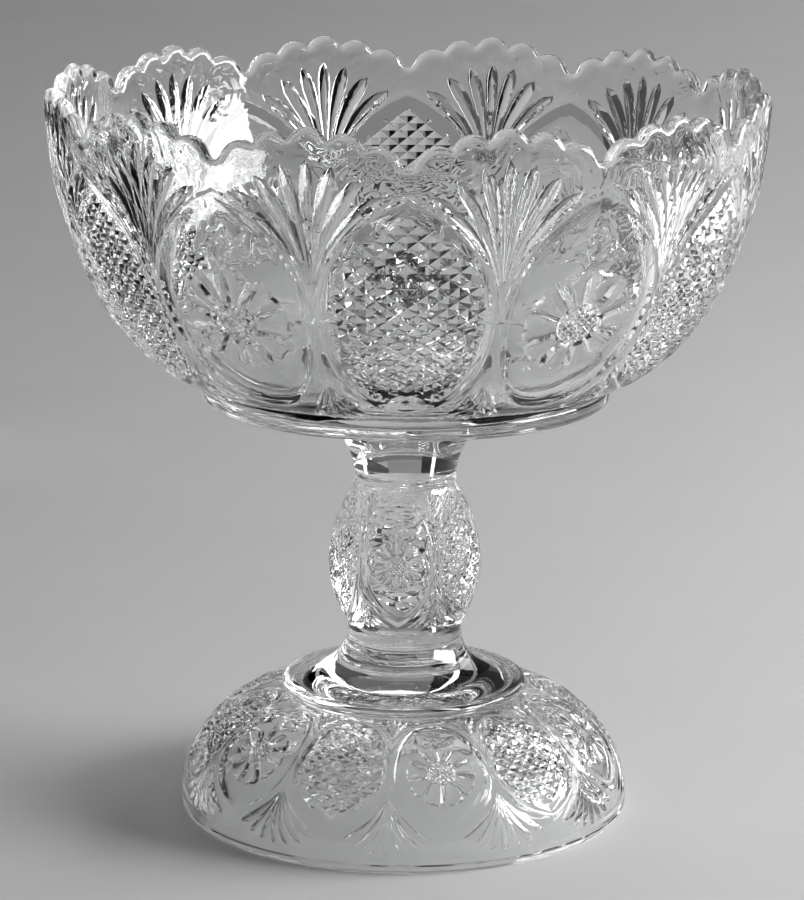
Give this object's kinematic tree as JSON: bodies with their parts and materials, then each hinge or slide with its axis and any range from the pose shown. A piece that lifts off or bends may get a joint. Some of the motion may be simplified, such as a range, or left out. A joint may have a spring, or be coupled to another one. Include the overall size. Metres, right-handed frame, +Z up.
{
  "type": "footed compote bowl",
  "caption": "Deep round pressed-glass bowl with a lobed, scalloped rim, on a base disc, flared neck, knopped stem, collar and hollow domed foot.",
  "frame": {"origin": "centre of the circle on which the foot rests, at table height", "axes": "+Z up along the axis of the stem and bowl; -Y is the side seen in the picture, with a notch of the rim at the front"},
  "size_m": [0.216, 0.216, 0.226],
  "materials": {
    "pressed_glass": "fire-polished"
  },
  "bodies": {
    "root": {"bowl": "pressed_glass", "base_disc": "pressed_glass", "neck": "pressed_glass", "knop": "pressed_glass", "collar": "pressed_glass", "foot": "pressed_glass"}
  },
  "joints": []
}
